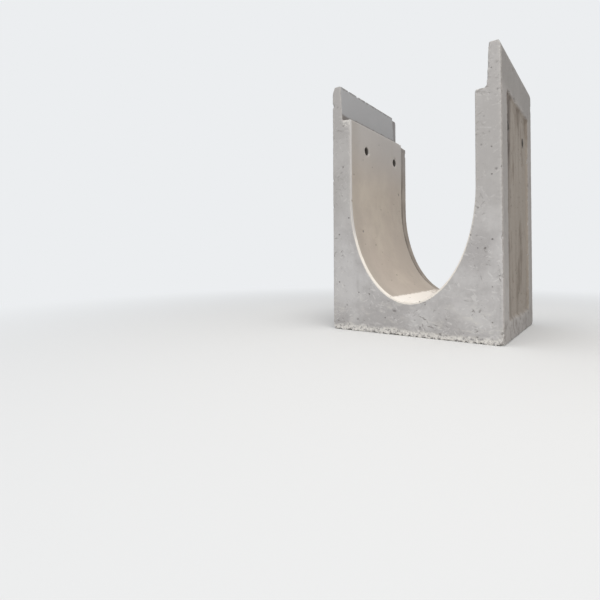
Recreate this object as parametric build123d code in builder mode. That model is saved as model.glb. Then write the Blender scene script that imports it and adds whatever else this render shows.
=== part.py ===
"""Precast concrete U-shaped culvert unit: one cast piece, open at both ends and on top.

Frame: +X across the channel, +Y along it from the front end to the rear end, +Z up.
The origin is at the centre of the base.
"""
import os

from build123d import *

os.makedirs("parts", exist_ok=True)

# Overall block; each outer side leans in by the draft from base to top
width = 850.0
height = 1300.0
length = 750.0
side_draft = 3.0

# Channel: straight walls above a half-elliptical invert
wall = 115.0
floor = 167.0
invert_rise = 536.0

# Cover-slab rebate: the outer part of each wall stands up past the ledge, tapering to its top
rebate_depth = 187.0
upstand_base = 64.0
upstand_top = 55.0
ledge_cove = 10.0

# Bevel along the outer top edge of each upstand
top_bevel_width = 11.0
top_bevel_height = 24.0

# Recess at the rear end, where the joint with the next unit is filled
joint_length = 98.0
joint_step = 12.0
joint_lip = 34.0
joint_draft = 3.0

# Bevelled mouth round the channel at the front end
mouth_length = 14.0
mouth_step = 5.0

# Shallow panel in each outer side, left by a plate in the mould
panel_depth = 12.0
panel_end_border = 112.0
panel_top_border = 176.0
panel_bottom_border = 90.0
panel_slope = 14.0
panel_corner = 25.0

# Two lifting holes through each wall, set out from the front end
hole_diameter = 42.0
hole_front = 185.0
hole_spacing = 366.0
hole_drop = 136.0
hole_mouth = 5.0

# Mould chamfers at the base and the upright end corners
arris = 5.0

ledge_height = height - rebate_depth
spring_height = floor + invert_rise
half_clear = width / 2 - wall

panel_length = length - 2 * panel_end_border
panel_height = height - panel_top_border - panel_bottom_border
panel_middle = panel_bottom_border + panel_height / 2

# The cuts run past the faces that they open through
cut_past = 10.0
channel_top = ledge_height + cut_past
joint_top = height + cut_past


def end_plane(distance):
    """Section plane at a distance behind the front end: local X is +X and local Y is +Z."""
    return Plane.XZ.offset(length / 2 - distance)


def side_plane(side, depth):
    """Plane in a drafted outer side, or at a depth under it, centred on the panel."""
    face_x = width / 2 - side_draft * panel_middle / height
    face = Plane(
        origin=(side * face_x, 0, panel_middle),
        x_dir=(0, side, 0),
        z_dir=(side * height, 0, side_draft),
    )
    return face.offset(-depth)


def channel_outline(half_width, invert, top):
    """Adds the closed U of a channel section to the open BuildLine."""
    EllipticalCenterArc((0, spring_height), half_width, invert, start_angle=180, arc_size=180)
    Polyline((half_width, spring_height), (half_width, top), (-half_width, top), (-half_width, spring_height))


with BuildPart() as culvert_unit:
    # Solid block with the rebate stepped down between the two upstands
    with BuildSketch(end_plane(0)):
        with BuildLine():
            Polyline(
                (0, 0),
                (width / 2, 0),
                (width / 2 - side_draft, height - top_bevel_height),
                (width / 2 - side_draft - top_bevel_width, height),
                (width / 2 - upstand_top, height),
                (width / 2 - upstand_base, ledge_height),
                (0, ledge_height),
            )
            mirror(about=Plane.YZ)
        make_face()
    extrude(amount=-length)

    # Cove where each upstand rises from the ledge
    cove_edges = culvert_unit.edges().filter_by(Axis.Y).filter_by(
        lambda edge: abs(edge.center().Z - ledge_height) < 1e-3
    )
    fillet(cove_edges, radius=ledge_cove)

    # Chamfered arrises: the base and the upright end corners
    base_edges = culvert_unit.edges().filter_by(Axis.Y).group_by(Axis.Z)[0]
    corner_edges = culvert_unit.edges().filter_by(
        lambda edge: edge.length > 0.9 * height and abs(edge.tangent_at(0.5).Z) > 0.9
    )
    chamfer(base_edges + corner_edges, length=arris)

    # Channel through the whole length
    with BuildSketch(end_plane(0)):
        with BuildLine():
            channel_outline(half_clear, invert_rise, channel_top)
        make_face()
    extrude(amount=-length, mode=Mode.SUBTRACT)

    # Joint recess: the channel grows by a step, and the ledge and upstands are cut back with it
    joint_sections = []
    for distance, step in ((length - joint_length, joint_step - joint_draft), (length, joint_step)):
        with BuildSketch(end_plane(distance)) as joint_section:
            with BuildLine():
                half_width = half_clear + step
                lip_edge = width / 2 - joint_lip - joint_step + step
                EllipticalCenterArc(
                    (0, spring_height), half_width, invert_rise + step, start_angle=180, arc_size=180
                )
                Polyline(
                    (half_width, spring_height),
                    (half_width, ledge_height - step),
                    (lip_edge, ledge_height - step),
                    (lip_edge, joint_top),
                    (-lip_edge, joint_top),
                    (-lip_edge, ledge_height - step),
                    (-half_width, ledge_height - step),
                    (-half_width, spring_height),
                )
            make_face()
        joint_sections.append(joint_section.sketch)
    loft(joint_sections, ruled=True, mode=Mode.SUBTRACT)

    # Bevelled mouth
    with BuildSketch(end_plane(0)) as mouth_front:
        with BuildLine():
            channel_outline(half_clear + mouth_step, invert_rise + mouth_step, channel_top)
        make_face()
    with BuildSketch(end_plane(mouth_length)) as mouth_throat:
        with BuildLine():
            channel_outline(half_clear, invert_rise, channel_top)
        make_face()
    loft([mouth_front.sketch, mouth_throat.sketch], ruled=True, mode=Mode.SUBTRACT)

    # Recessed panel in each outer side, with sloping borders
    for side in (-1, 1):
        with BuildSketch(side_plane(side, 0)) as panel_rim:
            RectangleRounded(panel_length, panel_height, panel_corner)
        with BuildSketch(side_plane(side, panel_depth)) as panel_bed:
            RectangleRounded(
                panel_length - 2 * panel_slope, panel_height - 2 * panel_slope, panel_corner - panel_slope
            )
        loft([panel_rim.sketch, panel_bed.sketch], ruled=True, mode=Mode.SUBTRACT)

    # Lifting holes, each with a small countersink on the channel side
    hole_middle = hole_front + hole_spacing / 2 - length / 2
    for side in (-1, 1):
        inner_face = Plane(
            origin=(side * half_clear, hole_middle, ledge_height - hole_drop),
            x_dir=(0, side, 0),
            z_dir=(-side, 0, 0),
        )
        with Locations(inner_face):
            with GridLocations(hole_spacing, 0, 2, 1):
                CounterSinkHole(
                    radius=hole_diameter / 2,
                    counter_sink_radius=hole_diameter / 2 + hole_mouth,
                    depth=wall,
                    counter_sink_angle=90,
                )

culvert_unit.part.label = "culvert_unit"
export_step(culvert_unit.part, "parts/culvert_unit.step")
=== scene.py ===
"""Looks of a precast concrete U-shaped culvert unit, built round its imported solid.

Metres, +Z up, the front end towards -Y. The casting is remeshed from the solid, then worn,
chipped and pitted, always inwards. Its four finishes are the ends, the channel, the outer
sides and the mouth.
"""

import math
import random

import bmesh
import bpy
import numpy as np
from mathutils import Matrix, Vector, kdtree, noise


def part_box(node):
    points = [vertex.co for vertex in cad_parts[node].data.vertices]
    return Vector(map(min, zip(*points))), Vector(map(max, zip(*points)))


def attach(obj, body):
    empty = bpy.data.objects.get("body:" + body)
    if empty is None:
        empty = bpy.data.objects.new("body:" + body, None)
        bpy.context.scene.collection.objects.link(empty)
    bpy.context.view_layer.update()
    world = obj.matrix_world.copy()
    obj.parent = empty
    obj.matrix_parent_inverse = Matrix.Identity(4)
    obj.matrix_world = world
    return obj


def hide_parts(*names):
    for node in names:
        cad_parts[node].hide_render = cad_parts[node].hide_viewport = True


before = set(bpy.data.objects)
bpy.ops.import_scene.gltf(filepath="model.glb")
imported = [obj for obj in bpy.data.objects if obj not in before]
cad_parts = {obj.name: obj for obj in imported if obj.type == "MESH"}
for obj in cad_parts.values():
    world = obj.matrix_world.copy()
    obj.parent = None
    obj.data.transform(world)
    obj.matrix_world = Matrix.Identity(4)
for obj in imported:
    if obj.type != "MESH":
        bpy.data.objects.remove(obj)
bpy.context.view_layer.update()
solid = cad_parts["culvert_unit"]
low, high = (Vector(corner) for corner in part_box("culvert_unit"))

# Places on the casting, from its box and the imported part's lengths
half_width = high.x
front_y = low.y
rear_y = high.y
top_z = high.z
ledge_z = top_z - 0.187
half_clear = 0.310
invert_rise = 0.536
spring_z = 0.703
mouth_length = 0.014
hole_radius = 0.021
hole_z = ledge_z - 0.136
hole_ys = (front_y + 0.185, front_y + 0.551)
joint_y = rear_y - 0.098
side_draft = 0.003
panel_depth = 0.012
panel_start = front_y + 0.112
panel_end = rear_y - 0.112
panel_low = 0.090
panel_top = top_z - 0.176

# Mesh of the casting
weld_distance = 1e-5
voxel = 0.0037
triangle_budget = 190000
box_inset = 1e-4
base_flat = 0.0016

# Weathering and rough casting all over: depth lost, and size of the noise that varies it
wave_depth = 0.0006
wave_size = 0.22
grit_depth = 0.0005
grit_size = 0.014

# Knocks and crumbling, by coarse and fine noise with a shift of its own
knock_size = 0.034
knock_shift = Vector((7.0, 3.0, 1.0))
crumb_size = 0.012
crumb_shift = Vector((2.0, 9.0, 4.0))

# Loss along the outward corners
arris_angle = math.radians(24)
arris_step = 0.005
arris_reach = 0.012
arris_loss = 0.0005
chip_depth = 0.008
chip_start = 0.40
chip_start_upstand = 0.26
upstand_chips_z = ledge_z + 0.01
chip_ease = 0.22

# The mouth's corner is cast crisp, so it wears less
mouth_guard = 0.25
mouth_guard_y = front_y + 0.05
mouth_guard_z = ledge_z - 0.03
mouth_guard_radius = 1.12

# Extra chips on the inner front corner of the right upstand
front_chip_depth = 0.0035
front_chip_y = front_y + 0.04
front_chip_z = ledge_z - 0.02
front_chip_x = half_width - 0.035

# Crumbled foot of the front end
foot_band = 0.075
foot_reach = 0.03
foot_depth = 0.005

# Air holes, pressed in as dents; the rim and the shade reach a little past the radius
air_hole_seed = 26
air_hole_count = 190
air_hole_radius = (0.0034, 0.0085)
air_hole_rim = 1.25
air_hole_depth = 0.75
air_hole_shade = 0.6
air_hole_shade_rim = 1.35

# Broken corners: the corner, the way the break faces, how deep it goes and how rough it is
corner_reach = 0.14
break_grain = 0.02
broken_corners = (
    (Vector((half_width - side_draft, rear_y, top_z)), Vector((0.35, 0.60, 1.0)), 0.034, 0.004),
    (Vector((-half_width + side_draft, front_y, top_z)), Vector((-1.0, -0.15, 0.42)), 0.016, 0.002),
    (Vector((half_width, front_y, 0.0)), Vector((0.9, -0.9, -0.8)), 0.015, 0.004),
    (Vector((-half_width, front_y, 0.0)), Vector((-0.8, -0.9, -0.8)), 0.011, 0.004),
    (Vector((-half_width + side_draft, rear_y, top_z)), Vector((-0.3, 1.0, 0.8)), 0.020, 0.004),
)

# How far the pale rubbing spreads from a corner, and the shade inside a lifting hole
arris_band = 0.012
hole_shade_reach = hole_radius * 1.3
hole_shade_in = half_clear + 0.001
hole_shade_in_ease = 0.008
hole_shade_out = half_width - panel_depth - 0.0015
hole_shade_out_ease = 0.003

# Which faces belong to which finish; a radius is 1 on the channel's surface
end_slot, channel_slot, side_slot, mouth_slot = range(4)
mouth_end_y = front_y + mouth_length + 0.001
mouth_top_z = ledge_z - 0.001
mouth_radius = 1.06
mouth_steepest = -0.90
mouth_flattest = -0.15
channel_edge_radius = 1.08
channel_top_z = ledge_z - 0.003
channel_steepest = 0.6
side_start_x = half_width - 0.030
side_flattest = 0.6

# Trowel strokes: the tilt of each direction, and its stretch along X, Y and Z
stroke_directions = (
    (0.22, (0.34, 1.0, 1.4)),
    (-0.55, (0.40, 1.0, 1.5)),
    (1.05, (0.38, 1.0, 1.3)),
)
stroke_patch_ease = 0.1

# Air holes too small for the mesh, in two sizes, and how strongly any hole shades
coarse_hole_scale = 34.0
fine_hole_scale = 95.0
fine_hole_share = 0.7
small_hole_shade = 0.6
full_hole_shade = 0.95

# Sheen and relief of every finish
specular_level = 0.3
relief_depth = 0.0025
grain_relief = 0.25

# Stretches over which stains come in, from where they are least to where they are full.
# Ends: evened upper walls, freshly struck lower front, smears, crumbs and the pale rim
even_heights = (0.42, 0.72)
fresh_lengths = (0.30, -0.30)
fresh_heights = (0.60, 0.30)
smear_heights = (0.30, 0.02)
foot_heights = (0.070, 0.048)
ledge_corner = (-half_clear - 0.022, front_y, ledge_z - 0.012)
ledge_corner_reach = (0.060, 0.046)
ledge_corner_rough = 0.05
rim_radii = (1.034, 1.028)
rim_heights = (0.75, 0.45)
rim_lengths = (front_y + 0.02, front_y + 0.01)

# Rebate: behind the front face, before the rear face and above the ledge, with painted shade at the
# upstands' foot and a darker crown
rebate_front = (front_y + 0.002, front_y + 0.008)
rebate_rear = (rear_y - 0.002, rear_y - 0.008)
rebate_heights = (ledge_z - 0.016, ledge_z - 0.010)
rebate_cover = 0.70
upstand_foot_shade = (ledge_z + 0.054, ledge_z + 0.040)
ledge_face = (ledge_z - 0.008, ledge_z - 0.002)
upstand_crown = (top_z + 0.012, top_z + 0.020)

# Joint recess: painted shade from its step, a little lighter further in
joint_shade_step = (joint_y - 0.004, joint_y + 0.004)
joint_shade_fade = (joint_y + 0.03, joint_y + 0.05)

# Channel: greyer upper walls, a darker band behind the mouth, and painted light pooled on the bed, fading
# towards the rear
channel_grey_heights = (0.72, 1.08)
mouth_band_lengths = (front_y + 0.150, front_y + 0.060)
lit_bed_heights = (0.193, 0.187)
lit_bed_rough = 0.010
lit_bed_lengths = (0.62, 0.34)
lit_bed_end_rough = 0.60
mouth_grey_heights = (0.46, 0.68)

# Outer sides: the sunk panel's borders, the shade over it, its rain runs and dark strip, and the
# splashed foot
panel_front_edge = (panel_start - 0.004, panel_start + 0.004)
panel_rear_edge = (panel_end + 0.004, panel_end - 0.004)
panel_low_edge = (panel_low + 0.008, panel_low + 0.030)
panel_top_edge = (panel_top + 0.004, panel_top - 0.012)
side_upper_heights = (panel_top - 0.03, panel_top + 0.03)
panel_run_strength = 0.55
border_run_strength = 0.05
strip_lengths = (panel_start + 0.150, panel_start + 0.075)
strip_lean = 0.07
strip_heights = (0.10, 0.85)
splash_heights = (0.13, 0.07)

# Colours, as seen in plain daylight
end_grey = (170, 167, 166)
end_pale = (194, 192, 191)
end_dark = (144, 141, 139)
end_even = (174, 171, 168)
stroke_pale = (208, 206, 204)
crack_dark = (112, 108, 104)
crumb_pale = (222, 219, 213)
worn_pale = (206, 203, 197)
hole_shade = (70, 66, 61)
rebate_grey = (166, 167, 169)
# Painted shade of the joint recess and of the upstands' foot
recess_shade = (98, 88, 80)
channel_buff = (188, 178, 168)
channel_pale = (199, 190, 178)
channel_dark = (172, 163, 153)
channel_top_grey = (184, 181, 179)
# Painted light pooled on the channel's bed
bed_painted_light = (251, 246, 239)
mouth_pale = (236, 229, 219)
mouth_palest = (246, 241, 233)
mouth_dark = (206, 199, 187)
side_grey = (158, 153, 149)
side_pale = (170, 165, 161)
side_dark = (100, 92, 84)
side_upper = (140, 136, 132)
side_brown = (104, 92, 80)
panel_brown = (148, 137, 124)
strip_dark = (72, 62, 58)
floor_pale = (228, 228, 227)
sky_pale = (236, 238, 240)
sky_light = (235, 238, 242)

# Floor and lamps: a lamp's name, place, aim, size, power and colour
floor_radius = 60
floor_drop = 0.0005
floor_fade = (0.9, 3.6)
sky_strength = 0.70
lamps = (
    ("key", (0.3, -1.0, 4.8), (0, 0, 0.4), 2.6, 96, (255, 251, 246)),
    ("fill", (2.8, -4.4, 2.0), (0, 0, 0.6), 3.0, 76, (255, 250, 244)),
)

# Camera, worked out from the photograph's vanishing points
camera_place = Vector((0.8052, -2.2998, 0.3728))
camera_turn = math.radians(37.06)
camera_roll = math.radians(-0.44)
focal_pixels = 420.0
horizon_pixel = 259.7
frame_pixels = 600


def tone(rgb, gain=1.0):
    """An 8-bit display colour as the linear colour that a socket takes."""
    linear = [((v / 255 + 0.055) / 1.055) ** 2.4 if v > 10 else v / 3294.6 for v in rgb]
    return (*[v * gain for v in linear], 1.0)


def smooth(value):
    """Eases a number clamped from 0 to 1."""
    value = min(1.0, max(0.0, value))
    return value * value * (3 - 2 * value)


def channel_radius(point):
    """1 on the channel's surface, less inside the channel and more inside the concrete."""
    drop = max(0.0, spring_z - point.z) / invert_rise
    return math.hypot(point.x / half_clear, drop)


# The casting's mesh


def welded(mesh):
    """A mesh in a work space, with its doubled points joined."""
    work = bmesh.new()
    work.from_mesh(mesh)
    bmesh.ops.remove_doubles(work, verts=work.verts, dist=weld_distance)
    return work


def search_tree(points):
    """Points in a search tree, numbered in their order."""
    tree = kdtree.KDTree(len(points))
    for index, point in enumerate(points):
        tree.insert(point, index)
    tree.balance()
    return tree


def arris_tree(mesh):
    """Points along the outward corners of a mesh, in a search tree."""
    work = welded(mesh)
    points = []
    for edge in work.edges:
        if len(edge.link_faces) == 2 and edge.calc_face_angle_signed(0.0) > arris_angle:
            start, end = (vert.co for vert in edge.verts)
            count = max(1, round((end - start).length / arris_step))
            points += [start.lerp(end, i / count) for i in range(count + 1)]
    work.free()
    return search_tree(points)


def evaluated_mesh(obj, name):
    """The mesh of an object with its modifiers applied."""
    graph = bpy.context.evaluated_depsgraph_get()
    mesh = bpy.data.meshes.new_from_object(obj.evaluated_get(graph))
    mesh.name = name
    return mesh


def remeshed(mesh):
    """An even fine mesh of a closed surface."""
    work = welded(mesh)
    closed = bpy.data.meshes.new("closed")
    work.to_mesh(closed)
    work.free()
    obj = bpy.data.objects.new("remesh_source", closed)
    bpy.context.scene.collection.objects.link(obj)
    modifier = obj.modifiers.new("even", "REMESH")
    modifier.mode = "VOXEL"
    modifier.voxel_size = voxel
    fine = evaluated_mesh(obj, "culvert_casting")
    bpy.data.objects.remove(obj)
    return fine


def unit_noise(point):
    """Noise from 0 to 1."""
    return 0.5 + 0.5 * noise.noise(point)


def guarded_by_mouth(point):
    """Whether a point lies at the crisp corner of the mouth."""
    low_front = point.y < mouth_guard_y and point.z < mouth_guard_z
    return low_front and channel_radius(point) < mouth_guard_radius


def on_chipped_corner(point):
    """Whether a point lies at the chipped inner front corner of the right upstand."""
    upper_front = point.z > front_chip_z and point.y < front_chip_y
    return upper_front and 0 < point.x < front_chip_x


def wear_depth(point, distance):
    """How far the surface is lost at a point, at a distance from the nearest outward corner."""
    wave = wave_depth * unit_noise(point / wave_size)
    grit = grit_depth * unit_noise(point / grit_size)
    knock = noise.noise(point / knock_size + knock_shift)
    crumb = noise.noise(point / crumb_size + crumb_shift)
    near = smooth(1 - distance / arris_reach)
    if guarded_by_mouth(point):
        near *= mouth_guard
    start = chip_start_upstand if point.z > upstand_chips_z else chip_start
    chip = chip_depth * smooth((knock - start) / chip_ease) * (0.8 + 0.6 * crumb)
    if on_chipped_corner(point):
        chip += front_chip_depth * smooth(0.5 + 1.6 * crumb + 0.9 * knock)
    foot = smooth(1 - point.z / foot_band) * smooth(1 - (point.y - front_y) / foot_reach)
    crumble = foot_depth * foot * smooth(0.5 + 1.4 * crumb + 0.8 * knock)
    return wave + grit + near * (arris_loss * (1 + crumb) + chip) + crumble


def press_air_holes(coords, normals, rng):
    """Dents round air holes into the surface, most of them small, and returns their places."""
    tree = search_tree(coords)
    small, large = air_hole_radius
    places = []
    for _ in range(air_hole_count):
        centre = Vector(coords[rng.randrange(len(coords))])
        radius = small + (large - small) * rng.random() ** 3
        places.append((centre, radius))
        for _, index, distance in tree.find_range(centre, radius * air_hole_rim):
            dent = air_hole_depth * radius * smooth(air_hole_rim - distance / radius)
            coords[index] -= normals[index] * dent
    return places


def break_corners(coords):
    """Cuts the broken corners back to rough planes."""
    for corner, facing, depth, rough in broken_corners:
        facing = facing.normalized()
        near = np.flatnonzero(np.linalg.norm(coords - np.array(corner), axis=1) < corner_reach)
        for index in near:
            point = Vector(coords[index])
            over = (point - corner).dot(facing) + depth + rough * noise.noise(point / break_grain)
            if over > 0:
                coords[index] -= np.array(facing) * over


def read_points(mesh, kind):
    """The places or the normals of a mesh's points, one row each."""
    values = np.empty(len(mesh.vertices) * 3)
    mesh.vertices.foreach_get(kind, values)
    return values.reshape(-1, 3)


def worn_surface(mesh, corners, rng):
    """Wears a mesh inwards, breaks its corners and presses its air holes; returns the air holes."""
    coords = read_points(mesh, "co")
    normals = read_points(mesh, "normal")
    depths = np.empty(len(coords))
    for index, point in enumerate(coords):
        vector = Vector(point)
        depths[index] = wear_depth(vector, corners.find(vector)[2])
    coords -= normals * depths[:, None]
    break_corners(coords)
    air_holes = press_air_holes(coords, normals, rng)
    coords = np.clip(coords, np.array(low) + box_inset, np.array(high) - box_inset)
    coords[:, 2] = np.where(coords[:, 2] < base_flat, low.z, coords[:, 2])
    mesh.vertices.foreach_set("co", coords.ravel())
    mesh.update()
    return air_holes


def thin_out(obj):
    """Thins an object's mesh to the triangle budget and keeps it on the ground."""
    obj.data.calc_loop_triangles()
    thin = obj.modifiers.new("thin", "DECIMATE")
    thin.ratio = min(1.0, triangle_budget / len(obj.data.loop_triangles))
    thinned = evaluated_mesh(obj, "culvert_casting_mesh")
    for vertex in thinned.vertices:
        vertex.co.z = max(vertex.co.z, low.z)
    obj.modifiers.clear()
    obj.data = thinned


def worn_casting():
    """The worn casting, with its outward corners in a search tree and its air holes."""
    rng = random.Random(air_hole_seed)
    corners = arris_tree(solid.data)
    mesh = remeshed(solid.data)
    air_holes = worn_surface(mesh, corners, rng)
    obj = bpy.data.objects.new("culvert_casting", mesh)
    bpy.context.scene.collection.objects.link(obj)
    thin_out(obj)
    return obj, corners, air_holes


def lifting_hole_depth(point):
    """1 well inside a lifting hole, 0 on the wall round it."""
    across = min(math.hypot(point.y - y, point.z - hole_z) for y in hole_ys)
    if across >= hole_shade_reach:
        return 0.0
    inner = smooth((abs(point.x) - hole_shade_in) / hole_shade_in_ease)
    outer = smooth((hole_shade_out - abs(point.x)) / hole_shade_out_ease)
    return inner * outer


def paint_masks(obj, corners, air_holes):
    """Stores how near each point is to an outward corner, and how deep it lies in any hole."""
    hole_tree = search_tree([centre for centre, _ in air_holes])
    arris = obj.data.attributes.new("arris", "FLOAT", "POINT")
    hollow = obj.data.attributes.new("hollow", "FLOAT", "POINT")
    for index, vertex in enumerate(obj.data.vertices):
        arris.data[index].value = smooth(1 - corners.find(vertex.co)[2] / arris_band)
        _, nearest, distance = hole_tree.find(vertex.co)
        radius = air_holes[nearest][1]
        shade = air_hole_shade * smooth(air_hole_shade_rim - distance / radius)
        hollow.data[index].value = max(shade, lifting_hole_depth(vertex.co))


def is_mouth(centre, normal):
    """Whether a face is on the bevelled mouth."""
    near_front = centre.y < mouth_end_y and centre.z < mouth_top_z
    sloping = mouth_steepest < normal.y < mouth_flattest
    return near_front and sloping and channel_radius(centre) < mouth_radius


def is_channel(centre, normal):
    """Whether a face is on the channel's wall, its invert or the joint recess."""
    inside = channel_radius(centre) < channel_edge_radius and centre.z < channel_top_z
    return inside and abs(normal.y) < channel_steepest


def surface_slot(centre, normal):
    """The slot of a face's finish."""
    if is_mouth(centre, normal):
        return mouth_slot
    if is_channel(centre, normal):
        return channel_slot
    if abs(centre.x) > side_start_x and abs(normal.x) > side_flattest:
        return side_slot
    return end_slot


# Shader nodes: each helper adds a node to a tree and gives its result


def new_group(name, inputs, outputs):
    """Starts a shader node group with named sockets; inputs give (name, type, default)."""
    tree = bpy.data.node_groups.new(name, "ShaderNodeTree")
    for label, kind, default in inputs:
        socket = tree.interface.new_socket(name=label, in_out="INPUT", socket_type=kind)
        socket.default_value = default
    for label, kind in outputs:
        tree.interface.new_socket(name=label, in_out="OUTPUT", socket_type=kind)
    return tree, tree.nodes.new("NodeGroupInput"), tree.nodes.new("NodeGroupOutput")


def put(socket, value):
    """Links a socket to another, or sets it to a value."""
    if isinstance(value, bpy.types.NodeSocket):
        socket.id_data.links.new(value, socket)
    else:
        socket.default_value = value


def place_of(tree):
    """The place on the casting, in metres."""
    return tree.nodes.new("ShaderNodeTexCoord").outputs["Object"]


def axes_of(tree):
    """The place on the casting as X, Y and Z."""
    split = tree.nodes.new("ShaderNodeSeparateXYZ")
    put(split.inputs[0], place_of(tree))
    return split.outputs["X"], split.outputs["Y"], split.outputs["Z"]


def attribute_of(tree, name):
    """A mask stored on the casting's points."""
    node = tree.nodes.new("ShaderNodeAttribute")
    node.attribute_name = name
    return node.outputs["Fac"]


def stretched(tree, vector, scale, tilt=0.0):
    """A place tilted about Y, then scaled by its own amount along each axis."""
    node = tree.nodes.new("ShaderNodeMapping")
    node.vector_type = "TEXTURE"
    put(node.inputs["Vector"], vector)
    node.inputs["Rotation"].default_value = (0.0, tilt, 0.0)
    node.inputs["Scale"].default_value = [1 / amount for amount in scale]
    return node.outputs["Vector"]


def noise_of(tree, vector, scale, detail=4.0, roughness=0.55):
    """A noise texture's factor, about 0.5 on average."""
    node = tree.nodes.new("ShaderNodeTexNoise")
    put(node.inputs["Vector"], vector)
    put(node.inputs["Scale"], scale)
    put(node.inputs["Detail"], detail)
    put(node.inputs["Roughness"], roughness)
    return node.outputs["Fac"]


def upright_noise(tree, height_scale, scale, detail, roughness=0.55):
    """Noise drawn out up and down, or squeezed where the height's scale is over 1."""
    place = stretched(tree, place_of(tree), (1.0, 1.0, height_scale))
    return noise_of(tree, place, scale, detail, roughness)


def ramp_of(tree, value, start, end, to_start=0.0, to_end=1.0):
    """Maps a value smoothly from one range to another, clamped."""
    node = tree.nodes.new("ShaderNodeMapRange")
    node.interpolation_type = "SMOOTHSTEP"
    put(node.inputs["Value"], value)
    put(node.inputs["From Min"], start)
    put(node.inputs["From Max"], end)
    put(node.inputs["To Min"], to_start)
    put(node.inputs["To Max"], to_end)
    return node.outputs["Result"]


def math_of(tree, operation, first, second):
    """A maths node's result."""
    node = tree.nodes.new("ShaderNodeMath")
    node.operation = operation
    put(node.inputs[0], first)
    put(node.inputs[1], second)
    return node.outputs[0]


def times(tree, first, second):
    """Two values multiplied."""
    return math_of(tree, "MULTIPLY", first, second)


def plus(tree, first, second):
    """Two values added."""
    return math_of(tree, "ADD", first, second)


def minus(tree, first, second):
    """The first value less the second."""
    return math_of(tree, "SUBTRACT", first, second)


def greatest(tree, first, second):
    """The greater of two values."""
    return math_of(tree, "MAXIMUM", first, second)


def ragged(tree, value, depth, scale, detail=4.0, roughness=0.55):
    """A value shifted by noise, so that what is drawn at a level of it has a ragged edge."""
    return plus(tree, value, times(tree, noise_of(tree, place_of(tree), scale, detail, roughness), depth))


def distance_of(tree, vector, origin=(0.0, 0.0, 0.0)):
    """How far a vector's end lies from a place."""
    node = tree.nodes.new("ShaderNodeVectorMath")
    node.operation = "DISTANCE"
    put(node.inputs[0], vector)
    node.inputs[1].default_value = origin
    return node.outputs["Value"]


def blend_of(tree, factor, first, second):
    """A mix of two colours."""
    node = tree.nodes.new("ShaderNodeMix")
    node.data_type = "RGBA"
    put(node.inputs[0], factor)
    put(node.inputs[6], first)
    put(node.inputs[7], second)
    return node.outputs[2]


def laid_on(tree, colour, stain, mask, strength=None):
    """A colour with a stain laid on it where the mask is above 0, at full strength or less."""
    if strength is not None:
        mask = times(tree, mask, strength)
    return blend_of(tree, mask, colour, tone(stain))


def mixed_shader(tree, factor, first, second):
    """A mix of two shaders."""
    node = tree.nodes.new("ShaderNodeMixShader")
    put(node.inputs[0], factor)
    put(node.inputs[1], first.outputs[0])
    put(node.inputs[2], second.outputs[0])
    return node.outputs[0]


# Node groups that the finishes share


def mottle_group():
    """Clouded cement paste with sand in it."""
    tree, given, result = new_group(
        "Cement mottle",
        [
            ("Base", "NodeSocketColor", tone(end_grey)),
            ("Pale", "NodeSocketColor", tone(end_pale)),
            ("Dark", "NodeSocketColor", tone(end_dark)),
            ("Cloud Scale", "NodeSocketFloat", 5.0),
            ("Dark Amount", "NodeSocketFloat", 0.6),
        ],
        [("Color", "NodeSocketColor"), ("Height", "NodeSocketFloat")],
    )
    base, pale, dark, cloud_scale, dark_amount = given.outputs[:5]
    place = place_of(tree)
    clouds = noise_of(tree, place, cloud_scale, detail=6.0, roughness=0.62)
    patches = upright_noise(tree, height_scale=0.8, scale=14.0, detail=5.0, roughness=0.6)
    blotches = noise_of(tree, place, scale=55.0, detail=4.0, roughness=0.6)
    sand = noise_of(tree, place, scale=420.0, detail=2.0, roughness=0.6)
    cloudy = ramp_of(tree, clouds, start=0.42, end=0.66)
    patchy = ramp_of(tree, patches, start=0.50, end=0.74)
    specks = ramp_of(tree, blotches, start=0.56, end=0.78, to_end=0.32)
    grains = ramp_of(tree, sand, start=0.35, end=0.7, to_end=0.22)
    body = blend_of(tree, cloudy, base, pale)
    body = blend_of(tree, times(tree, patchy, dark_amount), body, dark)
    body = blend_of(tree, specks, body, dark)
    body = blend_of(tree, grains, body, pale)
    put(result.inputs["Color"], body)
    put(result.inputs["Height"], plus(tree, times(tree, blotches, 0.7), times(tree, sand, 0.3)))
    return tree


def air_hole_group():
    """Small round air holes, each cell with a hole of its own size or none."""
    tree, given, result = new_group(
        "Air holes",
        [("Scale", "NodeSocketFloat", 40.0), ("Size", "NodeSocketFloat", 0.16)],
        [("Mask", "NodeSocketFloat")],
    )
    cells = tree.nodes.new("ShaderNodeTexVoronoi")
    put(cells.inputs["Vector"], place_of(tree))
    put(cells.inputs["Scale"], given.outputs["Scale"])
    lot = tree.nodes.new("ShaderNodeSeparateColor")
    put(lot.inputs[0], cells.outputs["Color"])
    chance = math_of(tree, "POWER", lot.outputs[0], 3.0)
    radius = times(tree, chance, given.outputs["Size"])
    inner = minus(tree, radius, cells.outputs["Distance"])
    put(result.inputs["Mask"], ramp_of(tree, inner, start=0.0, end=0.05))
    return tree


def streak_group():
    """Stains that rain has drawn down an upright face."""
    tree, given, result = new_group(
        "Rain streaks",
        [
            ("Scale", "NodeSocketFloat", 14.0),
            ("Start", "NodeSocketFloat", 0.5),
            ("End", "NodeSocketFloat", 0.7),
        ],
        [("Mask", "NodeSocketFloat")],
    )
    scale, start, end = given.outputs[:3]
    lines = upright_noise(tree, height_scale=0.07, scale=scale, detail=6.0, roughness=0.65)
    patches = noise_of(tree, place_of(tree), scale=3.2, detail=3.0, roughness=0.5)
    breaks = ramp_of(tree, patches, start=0.38, end=0.62, to_start=0.25)
    put(result.inputs["Mask"], times(tree, ramp_of(tree, lines, start, end), breaks))
    return tree


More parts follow.
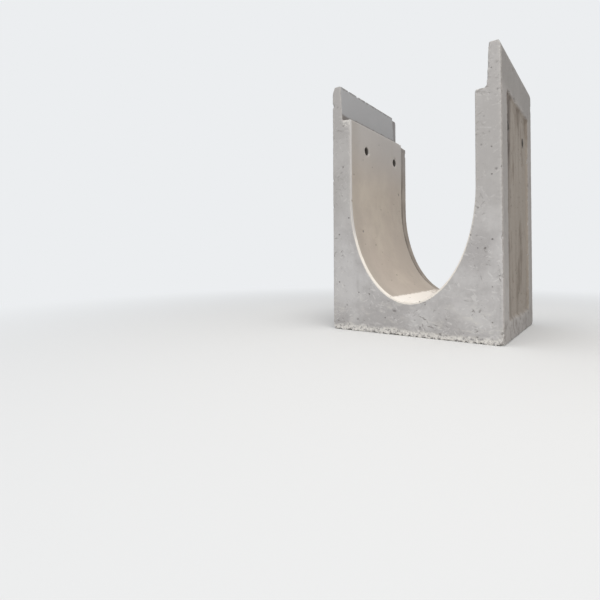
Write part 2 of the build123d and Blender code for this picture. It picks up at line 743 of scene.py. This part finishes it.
def trowel_group():
    """Short thin strokes left by a trowel, crossing one another in broken patches."""
    tree, given, result = new_group(
        "Trowel strokes",
        [("Scale", "NodeSocketFloat", 60.0), ("Coverage", "NodeSocketFloat", 0.5)],
        [("Mask", "NodeSocketFloat")],
    )
    scale, coverage = given.outputs[:2]
    place = place_of(tree)
    strokes = 0.0
    for tilt, stretch in stroke_directions:
        lines = noise_of(tree, stretched(tree, place, stretch, tilt), scale, detail=4.0, roughness=0.6)
        strokes = greatest(tree, ramp_of(tree, lines, start=0.61, end=0.68), strokes)
    patches = noise_of(tree, place, scale=7.0, detail=5.0, roughness=0.7)
    covered = ramp_of(tree, patches, coverage, plus(tree, coverage, stroke_patch_ease))
    put(result.inputs["Mask"], times(tree, strokes, covered))
    return tree


def arris_group():
    """Pale rubbed corners, broken up by the sand under them."""
    tree, given, result = new_group(
        "Rubbed arrises", [("Amount", "NodeSocketFloat", 0.6)], [("Mask", "NodeSocketFloat")]
    )
    grit = noise_of(tree, place_of(tree), scale=70.0, detail=5.0, roughness=0.65)
    worn = times(tree, attribute_of(tree, "arris"), ramp_of(tree, grit, start=0.38, end=0.66))
    put(result.inputs["Mask"], times(tree, worn, given.outputs["Amount"]))
    return tree


shared = {
    "mottle": mottle_group(),
    "holes": air_hole_group(),
    "streaks": streak_group(),
    "trowel": trowel_group(),
    "arris": arris_group(),
}


def placed(tree, key, **values):
    """Places a shared group in a material with its own values."""
    node = tree.nodes.new("ShaderNodeGroup")
    node.node_tree = shared[key]
    for label, value in values.items():
        put(node.inputs[label.replace("_", " ")], value)
    return node


def mask_of(tree, key, **values):
    """The mask that a shared group gives for its own values."""
    return placed(tree, key, **values).outputs["Mask"]


# Stains of the end faces and the rebate, with painted shade in the rebate


def trowel_strokes(tree, colour, y, z):
    """Pale strokes and dark scores, most of them low down on the front end."""
    towards_front = ramp_of(tree, y, *fresh_lengths, to_start=0.35)
    low_down = ramp_of(tree, z, *fresh_heights, to_start=0.55)
    fresh = times(tree, towards_front, low_down)
    strokes = times(tree, mask_of(tree, "trowel", Scale=58.0, Coverage=0.40), fresh)
    scores = times(tree, mask_of(tree, "trowel", Scale=44.0, Coverage=0.50), fresh)
    colour = laid_on(tree, colour, stroke_pale, strokes, strength=0.56)
    return laid_on(tree, colour, crack_dark, scores, strength=0.78)


def low_smears(tree, colour, z):
    """Whitish smears of mortar towards the foot."""
    blots = upright_noise(tree, height_scale=2.2, scale=11.0, detail=7.0, roughness=0.7)
    smears = times(tree, ramp_of(tree, blots, start=0.52, end=0.68), ramp_of(tree, z, *smear_heights))
    return laid_on(tree, colour, worn_pale, smears, strength=0.7)


def foot_crumbs(tree, colour, z):
    """Pale broken mortar with dark gaps along the foot."""
    level = ragged(tree, z, depth=0.03, scale=34.0, detail=5.0, roughness=0.7)
    level = ragged(tree, level, depth=0.035, scale=6.0, detail=3.0, roughness=0.6)
    band = ramp_of(tree, level, *foot_heights)
    grit = noise_of(tree, place_of(tree), scale=75.0, detail=5.0, roughness=0.7)
    crumbs = times(tree, band, ramp_of(tree, grit, start=0.42, end=0.50, to_end=0.9))
    gaps = times(tree, band, ramp_of(tree, grit, start=0.42, end=0.34, to_end=0.7))
    colour = laid_on(tree, colour, crumb_pale, crumbs)
    return blend_of(tree, gaps, colour, tone(crack_dark, gain=0.8))


def ledge_corner_crumbs(tree, colour):
    """A pale rubbed patch where the left ledge meets the front end."""
    place = place_of(tree)
    grit = noise_of(tree, place, scale=80.0, detail=5.0, roughness=0.7)
    reach = plus(tree, distance_of(tree, place, ledge_corner), times(tree, grit, ledge_corner_rough))
    patch = ramp_of(tree, reach, *ledge_corner_reach)
    crumbs = times(tree, patch, ramp_of(tree, grit, start=0.44, end=0.54, to_end=0.7))
    return laid_on(tree, colour, crumb_pale, crumbs)


def mouth_rim(tree, x, y, z):
    """The mask of a thin pale line on the front face round the mouth, fading up the walls."""
    drop = greatest(tree, minus(tree, spring_z, z), 0.0)
    section = tree.nodes.new("ShaderNodeCombineXYZ")
    put(section.inputs[0], math_of(tree, "DIVIDE", x, half_clear))
    put(section.inputs[1], math_of(tree, "DIVIDE", drop, invert_rise))
    radius = distance_of(tree, section.outputs[0])
    edge = ragged(tree, radius, depth=0.012, scale=60.0, detail=4.0, roughness=0.6)
    line = ramp_of(tree, edge, *rim_radii, to_end=0.9)
    low_down = ramp_of(tree, z, *rim_heights)
    return times(tree, line, times(tree, low_down, ramp_of(tree, y, *rim_lengths)))


def joint_recess_shade(tree, colour, y):
    """Painted shade in the joint recess at the rear end, darkest at its step."""
    step_shade = ramp_of(tree, y, *joint_shade_step, to_end=0.75)
    lighter_inward = ramp_of(tree, y, *joint_shade_fade, to_end=0.25)
    blots = upright_noise(tree, height_scale=0.3, scale=26.0, detail=5.0)
    patchy = ramp_of(tree, blots, start=0.35, end=0.6, to_start=0.6)
    # Painted shade, darkest at the recess's step
    return laid_on(tree, colour, recess_shade, times(tree, minus(tree, step_shade, lighter_inward), patchy))


def rebate_inside(tree, y, z):
    """1 in the rebate, on the ledges and the upstands' inner faces, 0 on the end faces."""
    between = times(tree, ramp_of(tree, y, *rebate_front), ramp_of(tree, y, *rebate_rear))
    return times(tree, ramp_of(tree, z, *rebate_heights), between)


def rebate_stains(tree, cast, y, z):
    """Smooth sheltered concrete, with painted shade at the upstands' foot and in the joint recess, and a
    darker crown.
    """
    # Painted shade along the upstands' foot, where they meet the ledge
    foot = ramp_of(tree, ragged(tree, z, depth=0.024, scale=22.0), *upstand_foot_shade, to_end=0.65)
    foot = times(tree, foot, ramp_of(tree, z, *ledge_face))
    crumbled = ragged(tree, z, depth=0.05, scale=60.0, detail=5.0, roughness=0.7)
    crown = ramp_of(tree, crumbled, *upstand_crown, to_end=0.6)
    colour = laid_on(tree, cast, rebate_grey, rebate_cover)
    colour = laid_on(tree, colour, recess_shade, foot)
    colour = laid_on(tree, colour, crack_dark, crown)
    return joint_recess_shade(tree, colour, y)


def end_stains(tree, colour):
    """The end faces' runs, strokes, smears and crumbs, the pale rim of the mouth, and the rebate."""
    x, y, z = axes_of(tree)
    cast = laid_on(tree, colour, end_even, ramp_of(tree, z, *even_heights, to_end=0.55))
    runs = mask_of(tree, "streaks", Scale=9.0, Start=0.55, End=0.75)
    colour = laid_on(tree, cast, end_dark, runs, strength=0.30)
    colour = trowel_strokes(tree, colour, y, z)
    colour = low_smears(tree, colour, z)
    colour = foot_crumbs(tree, colour, z)
    colour = ledge_corner_crumbs(tree, colour)
    colour = laid_on(tree, colour, mouth_pale, mouth_rim(tree, x, y, z))
    return blend_of(tree, rebate_inside(tree, y, z), colour, rebate_stains(tree, cast, y, z))


# Stains of the channel and the mouth, and painted light on the channel's bed


def lit_channel_bed(tree, y, z):
    """The mask of painted light pooled along the channel's bottom, fading towards the rear."""
    rough = noise_of(tree, place_of(tree), scale=22.0, detail=5.0, roughness=0.65)
    level = plus(tree, z, times(tree, rough, lit_bed_rough))
    ragged_y = plus(tree, y, times(tree, rough, lit_bed_end_rough))
    lit_bed = ramp_of(tree, level, *lit_bed_heights, to_end=0.95)
    return times(tree, lit_bed, ramp_of(tree, ragged_y, *lit_bed_lengths, to_start=0.10))


def channel_stains(tree, colour):
    """Greyer under the ledge, darker in a band behind the mouth, faint runs down the walls, painted shade
    in the joint recess and painted light on the bed.
    """
    _, y, z = axes_of(tree)
    upper = ramp_of(tree, z, *channel_grey_heights, to_end=0.8)
    colour = laid_on(tree, colour, channel_top_grey, upper)
    behind_mouth = ramp_of(tree, ragged(tree, y, depth=0.04, scale=16.0), *mouth_band_lengths, to_end=0.32)
    colour = blend_of(tree, behind_mouth, colour, tone(channel_dark, gain=0.85))
    # Painted shade in the joint recess
    colour = joint_recess_shade(tree, colour, y)
    runs = mask_of(tree, "streaks", Scale=10.0, Start=0.56, End=0.78)
    colour = laid_on(tree, colour, channel_dark, runs, strength=0.35)
    # Painted light on the channel's bed
    return laid_on(tree, colour, bed_painted_light, lit_channel_bed(tree, y, z))


def mouth_stains(tree, colour):
    """The mouth's pale bevel turns greyer up the walls."""
    _, _, z = axes_of(tree)
    level = ragged(tree, z, depth=0.16, scale=14.0)
    upper = ramp_of(tree, level, *mouth_grey_heights, to_end=0.85)
    return laid_on(tree, colour, end_pale, upper)


# Stains of the outer sides


def panel_inside(tree, y, z):
    """1 inside the sunk panel of an outer side, 0 on its borders."""
    along = times(tree, ramp_of(tree, y, *panel_front_edge), ramp_of(tree, y, *panel_rear_edge))
    low_edge = ramp_of(tree, ragged(tree, z, depth=0.03, scale=20.0), *panel_low_edge)
    return times(tree, along, times(tree, low_edge, ramp_of(tree, z, *panel_top_edge)))


def panel_blots(tree, colour, inside):
    """Brown blots inside the panel, drawn out downwards."""
    blots = upright_noise(tree, height_scale=0.45, scale=5.0, detail=7.0, roughness=0.7)
    blots = times(tree, ramp_of(tree, blots, start=0.50, end=0.66), inside)
    return laid_on(tree, colour, side_brown, blots, strength=0.66)


def panel_strip(tree, colour, inside, y, z):
    """The darkest strip, down the panel behind its front border and broader higher up."""
    edge = ragged(tree, y, depth=0.14, scale=7.0, detail=6.0, roughness=0.65)
    strip = ramp_of(tree, minus(tree, edge, times(tree, z, strip_lean)), *strip_lengths)
    lines = upright_noise(tree, height_scale=0.12, scale=30.0, detail=6.0, roughness=0.7)
    strip = times(tree, strip, ramp_of(tree, lines, start=0.36, end=0.56, to_start=0.35))
    strip = times(tree, strip, ramp_of(tree, z, *strip_heights, to_start=0.45, to_end=0.95))
    return laid_on(tree, colour, strip_dark, times(tree, strip, inside))


def splashed_foot(tree, colour, z):
    """Dark splashes along the foot of an outer side."""
    blots = noise_of(tree, place_of(tree), scale=16.0, detail=6.0, roughness=0.7)
    splashes = ramp_of(tree, blots, start=0.48, end=0.60, to_end=0.45)
    return laid_on(tree, colour, side_dark, times(tree, splashes, ramp_of(tree, z, *splash_heights)))


def side_stains(tree, colour):
    """Rain stains down the outer sides, brown and strong inside the panel."""
    _, y, z = axes_of(tree)
    inside = panel_inside(tree, y, z)
    upper = ramp_of(tree, z, *side_upper_heights, to_end=0.55)
    colour = laid_on(tree, colour, side_upper, upper)
    colour = laid_on(tree, colour, panel_brown, inside, strength=0.70)
    runs = mask_of(tree, "streaks", Scale=9.0, Start=0.46, End=0.70)
    run_strength = plus(tree, times(tree, inside, panel_run_strength), border_run_strength)
    colour = laid_on(tree, colour, side_dark, runs, run_strength)
    colour = panel_blots(tree, colour, inside)
    colour = panel_strip(tree, colour, inside, y, z)
    return splashed_foot(tree, colour, z)


# Finishes


def concrete(name, base, pale, dark, cloud_scale, dark_amount, hole_size, worn, stains, bump):
    """A concrete material: mottled and stained, rubbed at its corners, with air holes."""
    material = bpy.data.materials.new(name)
    material.use_nodes = True
    tree = material.node_tree
    shader = tree.nodes["Principled BSDF"]
    mottle = placed(
        tree, "mottle", Base=tone(base), Pale=tone(pale), Dark=tone(dark), Cloud_Scale=cloud_scale,
        Dark_Amount=dark_amount,
    )
    colour = stains(tree, mottle.outputs["Color"])
    colour = laid_on(tree, colour, worn_pale, mask_of(tree, "arris", Amount=worn))
    coarse = mask_of(tree, "holes", Scale=coarse_hole_scale, Size=hole_size)
    fine = mask_of(tree, "holes", Scale=fine_hole_scale, Size=hole_size)
    holes = greatest(tree, coarse, times(tree, fine, fine_hole_share))
    shade = greatest(tree, times(tree, holes, small_hole_shade), attribute_of(tree, "hollow"))
    colour = laid_on(tree, colour, hole_shade, shade, full_hole_shade)
    grain = mottle.outputs["Height"]
    roughness = ramp_of(tree, grain, start=0.3, end=0.7, to_start=0.80, to_end=0.95)
    relief = tree.nodes.new("ShaderNodeBump")
    relief.inputs["Strength"].default_value = bump
    relief.inputs["Distance"].default_value = relief_depth
    put(relief.inputs["Height"], minus(tree, times(tree, grain, grain_relief), holes))
    put(shader.inputs["Base Color"], colour)
    put(shader.inputs["Roughness"], roughness)
    put(shader.inputs["Normal"], relief.outputs["Normal"])
    shader.inputs["Specular IOR Level"].default_value = specular_level
    return material


def casting_finishes():
    """The casting's four finishes, in the order of their slots."""
    ends = concrete(
        "end_concrete", end_grey, end_pale, end_dark, cloud_scale=4.0, dark_amount=0.30,
        hole_size=0.20, worn=0.42, stains=end_stains, bump=0.5,
    )
    channel = concrete(
        "channel_concrete", channel_buff, channel_pale, channel_dark, cloud_scale=2.6, dark_amount=0.30,
        hole_size=0.12, worn=0.45, stains=channel_stains, bump=0.3,
    )
    sides = concrete(
        "side_concrete", side_grey, side_pale, side_dark, cloud_scale=3.2, dark_amount=0.25,
        hole_size=0.18, worn=0.30, stains=side_stains, bump=0.5,
    )
    mouth = concrete(
        "mouth_concrete", mouth_pale, mouth_palest, mouth_dark, cloud_scale=9.0, dark_amount=0.35,
        hole_size=0.20, worn=0.10, stains=mouth_stains, bump=0.5,
    )
    return ends, channel, sides, mouth


def seen_directly(tree):
    """1 for what the camera, a reflection or glass sees, 0 for light that falls on the casting."""
    path = tree.nodes.new("ShaderNodeLightPath")
    direct = greatest(tree, path.outputs["Is Camera Ray"], path.outputs["Is Glossy Ray"])
    return greatest(tree, direct, path.outputs["Is Transmission Ray"])


def floor_finish():
    """A matt floor that fades into the backdrop far from the casting."""
    material = bpy.data.materials.new("floor_finish")
    material.use_nodes = True
    tree = material.node_tree
    shader = tree.nodes["Principled BSDF"]
    shader.inputs["Base Color"].default_value = tone(floor_pale)
    shader.inputs["Roughness"].default_value = 0.9
    shader.inputs["Specular IOR Level"].default_value = 0.1
    backdrop = tree.nodes.new("ShaderNodeEmission")
    backdrop.inputs["Color"].default_value = tone(sky_pale)
    fade = ramp_of(tree, distance_of(tree, place_of(tree)), *floor_fade)
    faded = mixed_shader(tree, times(tree, fade, seen_directly(tree)), shader, backdrop)
    put(tree.nodes["Material Output"].inputs["Surface"], faded)
    return material


# The scene


def build_casting():
    """The whole unit as one worn piece with its four finishes."""
    obj, corners, air_holes = worn_casting()
    paint_masks(obj, corners, air_holes)
    for finish in casting_finishes():
        obj.data.materials.append(finish)
    for face in obj.data.polygons:
        face.material_index = surface_slot(face.center, face.normal)
        face.use_smooth = True
    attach(obj, "root")
    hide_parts("culvert_unit")


def build_floor():
    """A wide pale floor at the casting's base."""
    place = (0, 0, low.z - floor_drop)
    bpy.ops.mesh.primitive_circle_add(vertices=96, radius=floor_radius, fill_type="NGON", location=place)
    floor = bpy.context.object
    floor.name = "floor"
    floor.data.materials.append(floor_finish())


def area_light(name, place, aim, size, power, rgb):
    """A soft square lamp at a place, pointing at another."""
    data = bpy.data.lights.new(name, "AREA")
    data.size = size
    data.energy = power
    data.color = tone(rgb)[:3]
    lamp = bpy.data.objects.new(name, data)
    lamp.location = place
    lamp.rotation_euler = (Vector(aim) - Vector(place)).to_track_quat("-Z", "Y").to_euler()
    bpy.context.scene.collection.objects.link(lamp)


def build_sky():
    """An even daylight sky, shown as the plain pale backdrop where it is seen."""
    world = bpy.data.worlds.new("sky")
    bpy.context.scene.world = world
    world.use_nodes = True
    tree = world.node_tree
    daylight = tree.nodes["Background"]
    daylight.inputs["Color"].default_value = tone(sky_light)
    daylight.inputs["Strength"].default_value = sky_strength
    backdrop = tree.nodes.new("ShaderNodeBackground")
    backdrop.inputs["Color"].default_value = tone(sky_pale)
    backdrop.inputs["Strength"].default_value = 1.0
    seen = mixed_shader(tree, seen_directly(tree), daylight, backdrop)
    put(tree.nodes["World Output"].inputs["Surface"], seen)


def build_camera():
    """The photograph's viewpoint, on the right of the front end and about knee high."""
    data = bpy.data.cameras.new("camera")
    data.sensor_width = 36.0
    data.lens = data.sensor_width * focal_pixels / frame_pixels
    data.shift_y = (horizon_pixel - frame_pixels / 2) / frame_pixels
    data.clip_end = 200
    camera = bpy.data.objects.new("camera", data)
    level = Matrix.Rotation(camera_turn, 4, "Z") @ Matrix.Rotation(math.pi / 2, 4, "X")
    camera.matrix_world = Matrix.Translation(camera_place) @ level @ Matrix.Rotation(camera_roll, 4, "Z")
    bpy.context.scene.collection.objects.link(camera)
    bpy.context.scene.camera = camera


build_casting()
build_floor()
for lamp in lamps:
    area_light(*lamp)
build_sky()
build_camera()
bpy.context.scene.view_settings.view_transform = "Standard"
